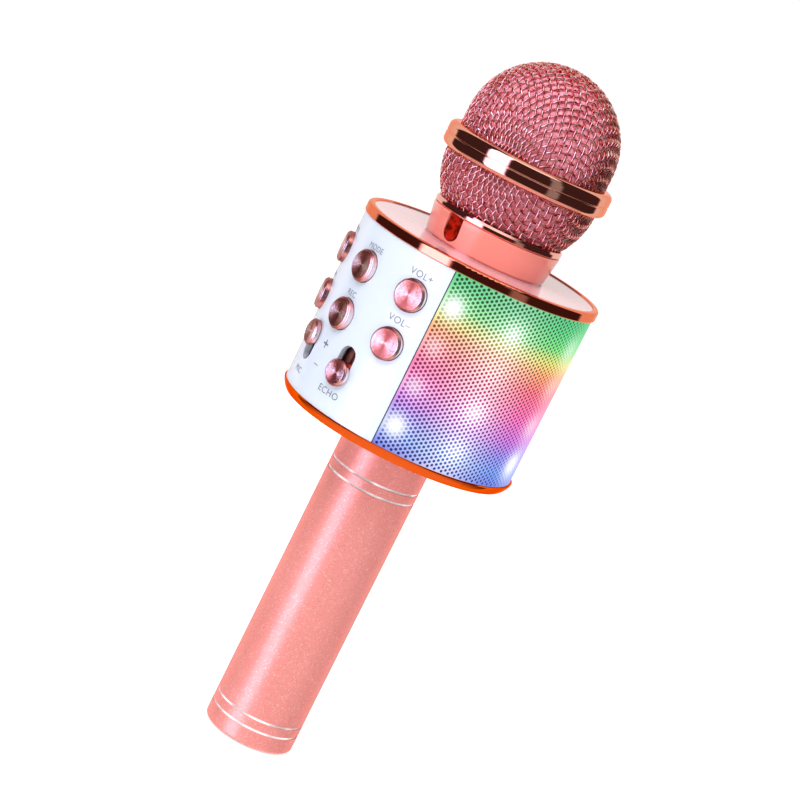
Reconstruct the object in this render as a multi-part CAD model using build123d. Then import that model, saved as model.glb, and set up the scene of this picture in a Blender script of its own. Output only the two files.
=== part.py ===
from build123d import *

import os
from math import cos, radians, sin, sqrt

# Toy karaoke microphone with a drum-shaped speaker body, in millimetres.
#
# The axis of the microphone is +Z, the handle's flat end is on Z = 0, and the control panel faces -Y.
# Azimuth is measured round the axis in degrees: 0 is the panel's centre line (-Y) and 90 is +X.
# Each function makes one kind of sub-part, and the table at the end writes one STEP file per node.

# ---- driving dimensions ------------------------------------------------------------------------
HANDLE_R = 15.4
HANDLE_WALL = 1.4
HANDLE_FOOT_Z = 0.3  # the tube's rounded lip stands this far above the end cap's face
HANDLE_TOP_Z = 112.0
GROOVE_Z = (6.4, 10.1, 93.9, 97.5)
GROOVE_WIDTH = 0.9
GROOVE_DEPTH = 0.3

DRUM_BOTTOM_Z = 111.4  # lower face of the bottom rim
SKIN_BOTTOM_Z = 114.5
SKIN_TOP_Z = 173.3
DRUM_TOP_Z = 176.1  # upper face of the top cover
RIM_R = 40.5
PANEL_R = 40.0
PANEL_WALL = 2.0
PANEL_HALF_ANGLE = 43.1
GRILLE_R = 39.7
GRILLE_WALL = 1.3
SEAM_ANGLE = 0.5  # the dark gasket between panel and grille

BUTTON_R = 5.2
BUTTON_HEIGHT = 2.0  # how far a button's face stands out of the panel
BUTTON_TRAVEL = 0.6
BUTTON_ROWS_Z = (160.2, 143.7)
BUTTON_COLUMN_ANGLE = 30.0

SLIDER_ANGLE = 14.5
SLIDER_KNOB_R = 4.3
SLIDER_LOW_Z = 127.9
SLIDER_TRAVEL = 5.0
SLIDER_HEIGHT = 2.2
SLOT_WIDTH = 6.4
SLOT_LENGTH = 13.0
SLOT_MID_Z = SLIDER_LOW_Z + SLIDER_TRAVEL / 2

NECK_BOTTOM_R = 20.6
NECK_TOP_R = 21.9
NECK_TOP_Z = 185.7
SHADOW_GAP = 0.6  # undercut that makes a dark line at the collar's foot
KEY_ANGLE = 14.6  # azimuth of the first locking key; the second is opposite
KEY_WIDTH = 5.6
KEY_FOOT_Z = 177.6

BAND_R = 28.2
BAND_Z = (203.0, 211.0)
DOME_R = 25.2
DOME_CENTRE_Z = 215.9
MESH_WALL = 1.0

FRAME_DISC_R = 37.0
FRAME_WALL = 2.0
FRAME_Z = (SKIN_BOTTOM_Z, SKIN_BOTTOM_Z + FRAME_WALL, SKIN_TOP_Z - FRAME_WALL, SKIN_TOP_Z)  # two discs
CARRIER_R = 34.2  # outer face of the curved key carrier
CARRIER_HALF_ANGLE = PANEL_HALF_ANGLE - 3.0
SPEAKER_R = 20.0
SPEAKER_FACE_X = 29.0
SPEAKER_Z = 144.0
CONE_TRAVEL = 0.8
LED_ANGLES = (49.1, 79.6, 120.1, 160.1)  # and the same on the other side
LED_ROWS_Z = (122.5, 136.0, 149.5, 163.0)

JACK_POS = (-5.8, -3.4)
JACK_R = 1.85
JACK_MOUTH_Z = 0.2
JACK_TOP_Z = 17.4
USB_POS = (5.2, -1.75)
CARD_POS = (0.0, 2.3)
PLAY = 0.15  # running gap between pieces that move past each other

CAP_R = HANDLE_R - HANDLE_WALL - 0.05
TRAY_Z = (18.6, 94.6)
CELL_R = 9.15
CELL_Z = (25.0, 90.0)
SPIGOT_R = 12.0
SPIGOT_TOP_Z = 122.0

COVER_SCREW_TURNS = (45, 135, 225, 315)
COVER_SCREW_R = 31.0
SPEAKER_SCREW_R = 18.6
SPEAKER_SCREWS = [
    (SPEAKER_SCREW_R * cos(radians(t)), SPEAKER_SCREW_R * sin(radians(t))) for t in (45, 135, 225, 315)
]
CONE_R = 14.6
BOARD_Y = -25.6
SOLDER_Y = BOARD_Y + 1.9  # a lead's end stands this close to the board's face

LEFT, RIGHT = -BUTTON_COLUMN_ANGLE, BUTTON_COLUMN_ANGLE
UPPER, LOWER = BUTTON_ROWS_Z
BUTTONS = [
    ("button_power", LEFT, UPPER),
    ("button_play", LEFT, LOWER),
    ("button_mode", 0.0, UPPER),
    ("button_record", 0.0, LOWER),
    ("button_volume_up", RIGHT, UPPER),
    ("button_volume_down", RIGHT, LOWER),
]

CUP_FOOT_Z = NECK_TOP_Z + 2.25
CUP_PROFILE = ((21.4, CUP_FOOT_Z), (22.9, 190.2), (24.3, 193.2), (25.3, 197.0), (25.9, 203.0))
FOAM_FOOT_Z = 189.0


# ---- helpers -----------------------------------------------------------------------------------
def ring(outer, inner, z0, z1):
    """A plain ring or disc round the axis, from z0 to z1."""
    body = Pos(0, 0, (z0 + z1) / 2) * Cylinder(outer, z1 - z0)
    if inner:
        body -= Pos(0, 0, (z0 + z1) / 2) * Cylinder(inner, z1 - z0 + 1)
    return body


def turned(points):
    """A closed profile of (radius, z) corners turned round the axis."""
    face = make_face(Polyline(*[(r, 0, z) for r, z in points], close=True))
    return revolve(face, Axis.Z)


def slab(x0, x1, y0, y1, z0, z1):
    """A box between two corners."""
    return Pos((x0 + x1) / 2, (y0 + y1) / 2, (z0 + z1) / 2) * Box(x1 - x0, y1 - y0, z1 - z0)


def wall_place(azimuth, radius, z):
    """A frame on the drum's wall: local Z points outwards, local Y is up."""
    a = radians(azimuth)
    origin = (radius * sin(a), -radius * cos(a), z)
    return Plane(origin=origin, x_dir=(cos(a), sin(a), 0), z_dir=(sin(a), -cos(a), 0)).location


def sector(outer, inner, z0, z1, a0, a1):
    """The part of a ring between two azimuths."""
    reach = outer * 2.5
    steps = max(2, int(abs(a1 - a0) / 40) + 1)
    fan = [(0, 0)]
    for k in range(steps + 1):
        a = radians(a0 + (a1 - a0) * k / steps)
        fan.append((reach * sin(a), -reach * cos(a)))
    wedge = extrude(make_face(Polyline(*fan, close=True)), z1 - z0 + 2)
    return ring(outer, inner, z0, z1) & (Pos(0, 0, z0 - 1) * wedge)


def pin(radius, z0, z1):
    """A cylinder along local Z."""
    return Pos(0, 0, (z0 + z1) / 2) * Cylinder(radius, z1 - z0)


def long_slot(width, length, z0, z1):
    """A round-ended bar along local Y."""
    return Pos(0, 0, z0) * extrude(Rot(0, 0, 90) * SlotOverall(length, width), z1 - z0)


def screw(head_r, head_h, shank_r, length):
    """A pan-head screw with a cross recess: the head is above local Z = 0."""
    body = pin(head_r, 0, head_h) + pin(shank_r, -length, 0)
    for turn in (0, 90):
        body -= Rot(0, 0, turn) * Pos(0, 0, head_h) * Box(head_r * 1.2, 0.4, head_h)
    return body


def grouped(solids):
    """Several separate solids that share one node."""
    return Compound(children=list(solids))


# ---- handle ------------------------------------------------------------------------------------
def handle_tube():
    """Aluminium tube with four cut decorative grooves and a rounded lower lip."""
    inner = HANDLE_R - HANDLE_WALL
    tube = ring(HANDLE_R, inner, HANDLE_FOOT_Z, HANDLE_TOP_Z)
    foot = tube.edges().filter_by(GeomType.CIRCLE).group_by(Axis.Z)[0].sort_by(SortBy.RADIUS)[-1]
    tube = fillet(foot, HANDLE_WALL * 0.8)
    for z in GROOVE_Z:
        tube -= ring(HANDLE_R + 1, HANDLE_R - GROOVE_DEPTH, z - GROOVE_WIDTH / 2, z + GROOVE_WIDTH / 2)
    return tube


def end_cap():
    """Flat plug in the handle's end, with windows for the three sockets."""
    cap = ring(CAP_R, 0, 0, 2.2) + ring(CAP_R, CAP_R - 1.3, 2.2, 6.0)
    cap -= Pos(*JACK_POS, 1) * Cylinder(2.9, 4)
    cap -= Pos(*USB_POS, 1) * Box(8.6, 3.6, 4)
    cap -= Pos(*CARD_POS, 1) * Box(12.4, 1.6, 4)
    foot = cap.edges().filter_by(GeomType.CIRCLE).group_by(Axis.Z)[0].sort_by(SortBy.RADIUS)[-1]
    return chamfer(foot, 0.25)


def port_board():
    """Upright circuit board that carries the sockets."""
    return slab(-12.0, 12.0, 0, 1.2, 6.4, 18.4)


def audio_jack():
    """Round 3.5 mm socket: a square body and a nozzle that fills the end cap's round window."""
    x, y = JACK_POS
    body = slab(x - 3.2, x + 3.2, y - 3.2, 0, 2.4, JACK_TOP_Z) + Pos(x, y, 0) * pin(2.8, JACK_MOUTH_Z, 2.4)
    return body - Pos(x, y, 0) * pin(JACK_R, JACK_MOUTH_Z - 1, JACK_TOP_Z - 1)


def usb_socket():
    """Charging socket: a folded shell with a tongue in its mouth."""
    x, y = USB_POS
    shell = slab(x - 4.0, x + 4.0, y - 1.5, y + 1.5, 0.3, 8.0)
    shell -= slab(x - 3.6, x + 3.6, y - 1.1, y + 1.1, 0, 7.4)
    return shell + slab(x - 2.6, x + 2.6, y - 0.3, y + 0.3, 1.2, 7.6)


def card_socket():
    """Memory-card socket with a thin slot that opens downwards."""
    x, y = CARD_POS
    body = slab(x - 7.2, x + 7.2, 1.2, 3.2, 2.4, 16.4)
    return body - slab(x - 5.7, x + 5.7, y - 0.45, y + 0.45, 2.0, 15.0)


def battery_tray():
    """Plastic trough that holds the cell in the middle of the tube."""
    tray = ring(CAP_R - 0.1, 0, *TRAY_Z)
    tray -= ring(CELL_R + 0.2, 0, TRAY_Z[0] + 3, TRAY_Z[1] - 2)
    tray -= slab(-20, 20, -20, -3, TRAY_Z[0] + 3, TRAY_Z[1] - 2)
    return tray - slab(-3, 3, -20, -9.6, TRAY_Z[0] - 1, TRAY_Z[1] + 1)


def battery_cell():
    """Rechargeable cylindrical cell with its raised terminal."""
    return ring(CELL_R, 0, CELL_Z[0], CELL_Z[1] - 1.2) + ring(2.8, 0, CELL_Z[1] - 1.2, CELL_Z[1])


def battery_contacts():
    """Spring at the cell's flat end and a plate at its terminal."""
    turns, wire_r, coil_r = 3, 0.35, 4.0
    low, high = TRAY_Z[0] + 3.4 + wire_r, CELL_Z[0] - wire_r
    path = Pos(0, 0, low) * Helix((high - low) / turns, high - low, coil_r)
    start = Plane(origin=path @ 0, z_dir=path % 0)
    spring = sweep(start * Circle(wire_r), path=path)
    return grouped([spring, slab(-4, 4, -4, 4, CELL_Z[1], TRAY_Z[1] - 2)])


def handle_core():
    """Hollow plug in the tube's upper end, with a threaded spigot that goes up into the drum."""
    core = ring(CAP_R, 9.0, 96.0, HANDLE_TOP_Z) + ring(SPIGOT_R, 9.0, HANDLE_TOP_Z, SPIGOT_TOP_Z)
    return core


def handle_nut():
    """Ring nut that clamps the drum on the handle's spigot."""
    nut = extrude(RegularPolygon(17.0, 6), 3.4) - Pos(0, 0, 1.7) * Cylinder(SPIGOT_R, 5)
    return Pos(0, 0, FRAME_Z[1]) * nut


# ---- drum --------------------------------------------------------------------------------------
def bottom_rim():
    """Plated ring round the drum's lower edge: its face leans in towards the handle."""
    z0, z1 = DRUM_BOTTOM_Z, SKIN_BOTTOM_Z
    face = ThreePointArc((38.9, 0, z0), (39.95, 0, z0 + 1.4), (RIM_R, 0, z1 - 0.25))
    top = Polyline(face @ 1, (RIM_R - 0.25, 0, z1), (38.2, 0, z1), (38.2, 0, z0), face @ 0)
    return revolve(make_face([face, top]), Axis.Z)


def bottom_cover():
    """Plate that closes the drum below, bored for the handle's spigot."""
    cover = ring(38.2, SPIGOT_R + 0.05, HANDLE_TOP_Z, FRAME_Z[0])
    for turn in COVER_SCREW_TURNS:
        cover -= wall_pin(turn, COVER_SCREW_R, 2.2, HANDLE_TOP_Z - 1, HANDLE_TOP_Z + 1.3)
        cover -= wall_pin(turn, COVER_SCREW_R, 1.1, HANDLE_TOP_Z - 1, FRAME_Z[0] + 1)
    return cover


def wall_pin(azimuth, radius, r, z0, z1):
    """An upright cylinder at a place round the axis."""
    a = radians(azimuth)
    return Pos(radius * sin(a), -radius * cos(a), (z0 + z1) / 2) * Cylinder(r, z1 - z0)


def cover_screws():
    """Four screws that hold the bottom cover to the frame."""
    made = []
    for turn in COVER_SCREW_TURNS:
        a = radians(turn)
        seat = Pos(COVER_SCREW_R * sin(a), -COVER_SCREW_R * cos(a), HANDLE_TOP_Z + 1.3)
        made.append(seat * Rot(180, 0, 0) * screw(1.9, 1.1, 1.0, 3.0))
    return grouped(made)


def top_rim():
    """Plated ring round the drum's upper edge, a little proud of the top cover."""
    z0, z1 = SKIN_TOP_Z, DRUM_TOP_Z + 0.4
    rim = ring(RIM_R, 38.3, z0, z1)
    outer = rim.edges().filter_by(GeomType.CIRCLE).sort_by(SortBy.RADIUS)[-2:]
    rim = chamfer(outer.sort_by(Axis.Z)[0], 0.25)
    top = rim.edges().filter_by(GeomType.CIRCLE).group_by(Axis.Z)[-1]
    rim = fillet(top.sort_by(SortBy.RADIUS)[-1], 0.9)
    inner = rim.edges().filter_by(GeomType.CIRCLE).group_by(Axis.Z)[-1].sort_by(SortBy.RADIUS)[0]
    return fillet(inner, 0.25)


def top_cover():
    """Painted plate on top of the drum, with an opening for the neck."""
    return ring(38.3, 17.2, FRAME_Z[3], DRUM_TOP_Z)


def drum_frame():
    """Moulded chassis: two discs joined by the two speaker baffles."""
    frame = ring(FRAME_DISC_R, 0, FRAME_Z[0], FRAME_Z[1]) + ring(FRAME_DISC_R, 0, FRAME_Z[2], FRAME_Z[3])
    frame -= ring(SPIGOT_R + 0.05, 0, FRAME_Z[0] - 1, FRAME_Z[1] + 1)
    frame -= ring(6.0, 0, FRAME_Z[2] - 1, FRAME_Z[3] + 1)
    for side in (-1, 1):
        x0, x1 = sorted((side * (SPEAKER_FACE_X - 3.5), side * (SPEAKER_FACE_X - 1.5)))
        baffle = slab(x0, x1, -22, 22, FRAME_Z[1], FRAME_Z[2])
        frame += baffle - Pos((x0 + x1) / 2, 0, SPEAKER_Z) * Rot(0, 90, 0) * Cylinder(SPEAKER_R - 2.2, 6)
    for turn in COVER_SCREW_TURNS:
        frame -= wall_pin(turn, COVER_SCREW_R, 1.0, FRAME_Z[0] - 1, FRAME_Z[1] - 0.2)
    for x, y in SPEAKER_SCREWS:
        for side in (-1, 1):
            hole = Pos(side * SPEAKER_FACE_X, x, SPEAKER_Z + y) * Rot(0, 90, 0) * Cylinder(0.6, 8)
            frame -= hole
    return frame


def control_panel():
    """Curved white panel with six button holes and two slider slots."""
    z0, z1 = SKIN_BOTTOM_Z, SKIN_TOP_Z
    panel = sector(PANEL_R, PANEL_R - PANEL_WALL, z0, z1, -PANEL_HALF_ANGLE, PANEL_HALF_ANGLE)
    for _, azimuth, z in BUTTONS:
        panel -= wall_place(azimuth, PANEL_R, z) * pin(BUTTON_R + PLAY, -6, 6)
    for azimuth in (-SLIDER_ANGLE, SLIDER_ANGLE):
        panel -= wall_place(azimuth, PANEL_R, SLOT_MID_Z) * long_slot(SLOT_WIDTH, SLOT_LENGTH, -6, 6)
    return panel


def seam_gaskets():
    """Thin black strips between the panel and the speaker grille."""
    a0, a1 = PANEL_HALF_ANGLE, PANEL_HALF_ANGLE + SEAM_ANGLE
    inner = GRILLE_R - GRILLE_WALL
    right = sector(GRILLE_R - 0.1, inner, SKIN_BOTTOM_Z, SKIN_TOP_Z, a0, a1)
    left = sector(GRILLE_R - 0.1, inner, SKIN_BOTTOM_Z, SKIN_TOP_Z, -a1, -a0)
    return grouped([right, left])


def speaker_grille():
    """Translucent shell round the rest of the drum. Its fine holes are left to the visual model."""
    start = PANEL_HALF_ANGLE + SEAM_ANGLE
    z0, z1 = SKIN_BOTTOM_Z, SKIN_TOP_Z
    return sector(GRILLE_R, GRILLE_R - GRILLE_WALL, z0, z1, start, 360 - start)


def key_carrier():
    """Curved wall behind the panel that carries the switches and slide controls."""
    carrier = sector(CARRIER_R, CARRIER_R - 1.2, FRAME_Z[1], FRAME_Z[2], -CARRIER_HALF_ANGLE, CARRIER_HALF_ANGLE)
    return carrier


def tact_switches():
    """Six push switches, one behind each button."""
    made = []
    for _, azimuth, z in BUTTONS:
        body = Pos(0, 0, 0.75) * Box(6.0, 6.0, 1.5) + pin(1.6, 1.5, 1.85)
        made.append(wall_place(azimuth, CARRIER_R + 0.01, z) * body)
    return grouped(made)


def slide_controls():
    """Two slide potentiometers, one behind each slot."""
    made = []
    for azimuth in (-SLIDER_ANGLE, SLIDER_ANGLE):
        body = Pos(0, 0, 1.1) * Box(7.6, 19.0, 2.2) - Pos(0, 0, 2.2) * Box(1.6, 12.0, 1.2)
        made.append(wall_place(azimuth, CARRIER_R + 0.01, SLOT_MID_Z) * body)
    return grouped(made)


def main_board():
    """Flat circuit board behind the key carrier."""
    board = slab(-19, 19, BOARD_Y, BOARD_Y + 1.4, FRAME_Z[1], FRAME_Z[2])
    for x in (-16, 16):
        for z in (124, 164):
            board -= Pos(x, BOARD_Y, z) * Rot(90, 0, 0) * Cylinder(1.1, 6)
    return board


def board_chips():
    """Radio module, amplifier, processor and capacitors on the main board."""
    face = BOARD_Y + 1.4
    chips = [slab(-12, 2, face, face + 1.6, 148, 162), slab(5, 12, face, face + 1.4, 150, 157)]
    chips.append(slab(-10, -1, face, face + 1.4, 132, 141))
    for x in (5, 11):
        chips.append(Pos(x, face + 2.6, 137) * Rot(90, 0, 0) * Cylinder(2.4, 5.2))
    return grouped(chips)


def led_strips():
    """Upright light strips round the inside of the grille."""
    made = []
    for side in (-1, 1):
        for azimuth in LED_ANGLES:
            body = Pos(0, 0, 0) * Box(6.0, FRAME_Z[2] - FRAME_Z[1], 0.6)
            middle = (FRAME_Z[1] + FRAME_Z[2]) / 2
            made.append(wall_place(side * azimuth, 36.3, middle) * body)
    return grouped(made)


def leds():
    """Colour LEDs, four on each strip."""
    made = []
    for side in (-1, 1):
        for azimuth in LED_ANGLES:
            for z in LED_ROWS_Z:
                made.append(wall_place(side * azimuth, 36.6, z) * (Pos(0, 0, 0.5) * Box(3.5, 3.5, 1.0)))
    return grouped(made)


# ---- loudspeakers: made facing +X, turned half round for the other side -------------------------


def speaker_solid(points, side):
    """A profile of (radius, x) corners turned round a loudspeaker's own axis."""
    body = Rot(0, 90, 0) * turned(points)
    return Pos(0, 0, SPEAKER_Z) * Rot(0, 0, 0 if side > 0 else 180) * body


def speaker_basket(side):
    """Pressed frame with a screwed rim, tapering to the magnet."""
    x = SPEAKER_FACE_X
    rim = [(SPEAKER_R, x - 1.5), (SPEAKER_R, x), (17.2, x), (17.2, x - 2.2), (11.0, 16.5), (5.2, 16.5)]
    inside = [(5.2, 15.5), (11.6, 15.5), (17.7, x - 2.4), (17.7, x - 1.5)]
    basket = speaker_solid(rim + inside, side)
    for y, z in SPEAKER_SCREWS:
        basket -= Pos(side * x, y, SPEAKER_Z + z) * Rot(0, 90, 0) * Cylinder(0.9, 8)
    return basket


def speaker_magnet(side):
    """Ring magnet and pole piece, with the gap that the voice coil moves in."""
    outline = [(0, 7.5), (12.0, 7.5), (12.0, 15.5), (5.2, 15.5), (5.2, 10.0), (3.6, 10.0), (3.6, 16.0)]
    return speaker_solid(outline + [(0, 16.0)], side)


def speaker_surround(side):
    """Soft roll between the cone and the basket's rim."""
    x = SPEAKER_FACE_X
    roll = [(17.2, x), (16.6, x + 0.9), (15.6, x + 0.9), (CONE_R + PLAY, x), (CONE_R + PLAY, x - 0.6)]
    return speaker_solid(roll + [(15.6, x + 0.2), (16.6, x + 0.2), (17.2, x - 0.6)], side)


def speaker_cone(side):
    """Cone, dust cap and voice-coil former, which move as one."""
    x = SPEAKER_FACE_X
    front = [(CONE_R, x - 0.6), (CONE_R, x - 0.1), (CONE_R - 0.6, x - 0.1), (6.2, 22.6), (4.4, 24.4), (2.2, 25.2)]
    back = [(0, 25.4), (0, 24.9), (2.0, 24.7), (4.0, 23.9), (4.1, 12.0), (4.6, 12.0), (4.7, 21.6)]
    return speaker_solid(front + back + [(6.3, 22.0)], side)


def speaker_screws():
    """Eight screws through the baskets' rims."""
    made = []
    for side in (-1, 1):
        for y, z in SPEAKER_SCREWS:
            seat = Pos(side * SPEAKER_FACE_X, y, SPEAKER_Z + z) * Rot(0, side * 90, 0)
            made.append(seat * screw(1.3, 0.7, 0.6, 3.4))
    return grouped(made)


def board_screws():
    """Four screws that hold the main board, through it into the key carrier."""
    made = []
    for x in (-16, 16):
        for z in (124, 164):
            made.append(Pos(x, BOARD_Y + 1.4, z) * Rot(-90, 0, 0) * screw(1.8, 1.0, 1.0, 2.6))
    return grouped(made)


# ---- controls ----------------------------------------------------------------------------------


def button(azimuth, z):
    """Round metal-faced button with a dished face and a retaining flange behind the panel."""
    cap = pin(BUTTON_R, -2.7, BUTTON_HEIGHT)
    rim = cap.edges().filter_by(GeomType.CIRCLE).group_by(Axis.Z)[-1]
    cap = chamfer(rim, 0.7)
    dish_r = 24.0
    face_r = BUTTON_R - 1.0
    drop = sqrt(dish_r**2 - face_r**2)
    cap -= Pos(0, 0, BUTTON_HEIGHT + drop) * Sphere(dish_r)
    return wall_place(azimuth, PANEL_R, z) * (cap + pin(BUTTON_R + 1.0, -3.2, -2.7))


def slider(azimuth, z):
    """Round slider knob on a stem that runs in its slot."""
    knob = pin(SLIDER_KNOB_R, 0.4, SLIDER_HEIGHT)
    rim = knob.edges().filter_by(GeomType.CIRCLE).group_by(Axis.Z)[-1]
    knob = chamfer(rim, 0.6)
    dish_r = 20.0
    drop = sqrt(dish_r**2 - (SLIDER_KNOB_R - 0.9) ** 2)
    knob -= Pos(0, 0, SLIDER_HEIGHT + drop) * Sphere(dish_r)
    stem = long_slot(SLOT_WIDTH - 0.4, SLOT_LENGTH - SLIDER_TRAVEL - 0.4, -3.4, 0.4)
    return wall_place(azimuth, PANEL_R, z) * (knob + stem)


# ---- neck and head -----------------------------------------------------------------------------
def key_body(r0, r1, width, z0, z1, azimuth):
    """A round-footed upright bar between two radii, as one locking key or the slot for it."""
    bar = slab(-width / 2, width / 2, -r1, -r0, z0 + width / 2, z1)
    bar += Pos(0, -(r0 + r1) / 2, z0 + width / 2) * Rot(90, 0, 0) * Cylinder(width / 2, r1 - r0)
    return Rot(0, 0, azimuth) * bar


def neck_collar():
    """Painted collar that flares upwards, undercut at its foot, with two open slots for the head's keys."""
    collar = turned(
        [
            (18.6, DRUM_TOP_Z),
            (NECK_BOTTOM_R - SHADOW_GAP, DRUM_TOP_Z),
            (NECK_BOTTOM_R - SHADOW_GAP, DRUM_TOP_Z + SHADOW_GAP),
            (NECK_BOTTOM_R, DRUM_TOP_Z + SHADOW_GAP),
            (NECK_TOP_R, NECK_TOP_Z - 0.3),
            (NECK_TOP_R - 0.3, NECK_TOP_Z),
            (18.6, NECK_TOP_Z),
        ]
    )
    for turn in (0, 180):
        gap = key_body(17, 24, KEY_WIDTH + 0.5, KEY_FOOT_Z - 0.25, NECK_TOP_Z + 1, KEY_ANGLE + turn)
        collar -= gap
    return collar


def neck_socket():
    """Inner sleeve that the head slides over, standing on the frame."""
    return ring(18.5, 15.5, DRUM_TOP_Z, NECK_TOP_Z) + ring(17.1, 15.5, FRAME_Z[3], DRUM_TOP_Z)


def capsule_pedestal():
    """Hollow post that carries the microphone capsule."""
    post = ring(15.4, 4.0, FRAME_Z[3], FRAME_Z[3] + 2.5) + ring(7.0, 4.0, FRAME_Z[3] + 2.5, 202.0)
    return post


def capsule_mount():
    """Rubber cup that isolates the capsule from the post."""
    cup = ring(12.4, 10.6, 202.0, 212.5) + ring(12.4, 4.0, 202.0, 204.0)
    return cup


def mic_capsule():
    """Dynamic microphone capsule with a vented front."""
    body = ring(10.5, 0, 204.0, 216.0)
    body -= ring(8.6, 7.6, 215.2, 217.0)
    for k in range(6):
        body -= wall_pin(60 * k, 5.0, 0.9, 214.8, 217.0)
    return body - wall_pin(0, 0, 1.1, 214.8, 217.0)


def base_ring():
    """Plated ring at the foot of the wire head, with its two locking keys."""
    z0 = NECK_TOP_Z + 0.05
    body = turned([(18.75, z0), (21.4, z0), (21.9, z0 + 0.5), (21.9, z0 + 1.5), (21.5, z0 + 2.2), (18.75, z0 + 2.2)])
    for turn in (0, 180):
        body += key_body(18.75, 20.75, KEY_WIDTH, KEY_FOOT_Z, z0 + 0.2, KEY_ANGLE + turn)
    return body & ring(25, 18.75, KEY_FOOT_Z - 1, z0 + 3)


def curved_shell(outline, wall):
    """A shell turned from a smooth outer curve given by (radius, z), with a wall inside it."""
    outer = Spline(*[(r, 0, z) for r, z in outline])
    inner = Spline(*[(r - wall, 0, z) for r, z in outline])
    face = make_face([outer, Line(outer @ 1, inner @ 1), inner, Line(inner @ 0, outer @ 0)])
    return revolve(face, Axis.Z)


def grille_cup():
    """Lower wire cup. It is a plain shell here; the visual model has its wires."""
    return curved_shell(CUP_PROFILE, MESH_WALL)


def grille_band():
    """Plated band round the head's widest place, rounded above and below, with a fine middle groove."""
    z0, z1 = BAND_Z
    band = ring(BAND_R, 24.4, z0, z1)
    outer = band.edges().filter_by(GeomType.CIRCLE).sort_by(SortBy.RADIUS)[-2:]
    band = fillet(outer, 1.9)
    groove = Pos(0, 0, (z0 + z1) / 2) * Torus(BAND_R + 0.15, 0.35)
    return band - groove


def dome_shell(inset, wall, z0):
    """A domed shell from z0 up, inset from the head's outer face."""
    solid = []
    for r in (DOME_R - inset, DOME_R - inset - wall):
        top = Pos(0, 0, DOME_CENTRE_Z) * Sphere(r)
        top &= Pos(0, 0, DOME_CENTRE_Z + 50) * Cylinder(60, 100)
        solid.append(top + ring(r, 0, z0, DOME_CENTRE_Z))
    return solid[0] - solid[1]


def grille_dome():
    """Upper wire dome. It is a plain shell here; the visual model has its wires."""
    return dome_shell(0, MESH_WALL, BAND_Z[1])


def foam_liner():
    """Soft windscreen just inside the wires."""
    dome = dome_shell(1.2, 3.2, 203.0)
    lower = turned([(17.4, FOAM_FOOT_Z), (20.3, FOAM_FOOT_Z), (23.2, 197.0), (24.0, 203.0), (20.8, 203.0)])
    return dome + lower


# ---- leads -------------------------------------------------------------------------------------
def lead(points, bend_r, wire_r):
    """A round insulated lead along two straight runs joined by an arc."""
    path = FilletPolyline(*points, radius=bend_r)
    start = Plane(origin=path @ 0, z_dir=path % 0)
    return sweep(start * Circle(wire_r), path=path)


def mic_lead():
    """Lead from the capsule down the post to the main board."""
    route = [(0, 0, 204.0), (0, 0, 158.0), (0, SOLDER_Y, 144.5)]
    return lead(route, 18.0, 0.9)


def battery_lead():
    """Lead from the battery tray up through the handle's spigot to the main board."""
    route = [(4, 0, TRAY_Z[1]), (4, 0, 121.5), (6, SOLDER_Y, 131.5)]
    return lead(route, 13.0, 0.9)


# ---- output ------------------------------------------------------------------------------------
NODES = {
    "handle_tube": handle_tube,
    "end_cap": end_cap,
    "port_board": port_board,
    "audio_jack": audio_jack,
    "usb_socket": usb_socket,
    "card_socket": card_socket,
    "battery_tray": battery_tray,
    "battery_cell": battery_cell,
    "battery_contacts": battery_contacts,
    "handle_core": handle_core,
    "handle_nut": handle_nut,
    "bottom_rim": bottom_rim,
    "bottom_cover": bottom_cover,
    "cover_screws": cover_screws,
    "top_rim": top_rim,
    "top_cover": top_cover,
    "drum_frame": drum_frame,
    "control_panel": control_panel,
    "seam_gaskets": seam_gaskets,
    "speaker_grille": speaker_grille,
    "key_carrier": key_carrier,
    "tact_switches": tact_switches,
    "slide_controls": slide_controls,
    "main_board": main_board,
    "board_chips": board_chips,
    "board_screws": board_screws,
    "led_strips": led_strips,
    "leds": leds,
    "battery_lead": battery_lead,
    "mic_lead": mic_lead,
    "speaker_screws": speaker_screws,
    "neck_collar": neck_collar,
    "neck_socket": neck_socket,
    "capsule_pedestal": capsule_pedestal,
    "capsule_mount": capsule_mount,
    "mic_capsule": mic_capsule,
    "grille_base_ring": base_ring,
    "grille_cup": grille_cup,
    "grille_band": grille_band,
    "grille_dome": grille_dome,
    "foam_liner": foam_liner,
}
for side, label in ((-1, "left"), (1, "right")):
    NODES[f"speaker_basket_{label}"] = lambda side=side: speaker_basket(side)
    NODES[f"speaker_magnet_{label}"] = lambda side=side: speaker_magnet(side)
    NODES[f"speaker_surround_{label}"] = lambda side=side: speaker_surround(side)
    NODES[f"speaker_cone_{label}"] = lambda side=side: speaker_cone(side)
for name, azimuth, z in BUTTONS:
    NODES[name] = lambda azimuth=azimuth, z=z: button(azimuth, z)
NODES["slider_microphone"] = lambda: slider(-SLIDER_ANGLE, SLIDER_LOW_Z + SLIDER_TRAVEL)
NODES["slider_echo"] = lambda: slider(SLIDER_ANGLE, SLIDER_LOW_Z)

os.makedirs("parts", exist_ok=True)
for node, make in NODES.items():
    export_step(make(), f"parts/{node}.step")
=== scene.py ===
"""Looks of the toy karaoke microphone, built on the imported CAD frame. Metres, +Z up the handle's axis.

Azimuth is measured round the axis as in the CAD model: 0 is the control panel's middle (-Y), 90 is +X.
"""

from itertools import groupby
from math import ceil, cos, pi, radians, sin, sqrt, tau

import bpy
import numpy as np
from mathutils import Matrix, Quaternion, Vector, noise


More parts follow.
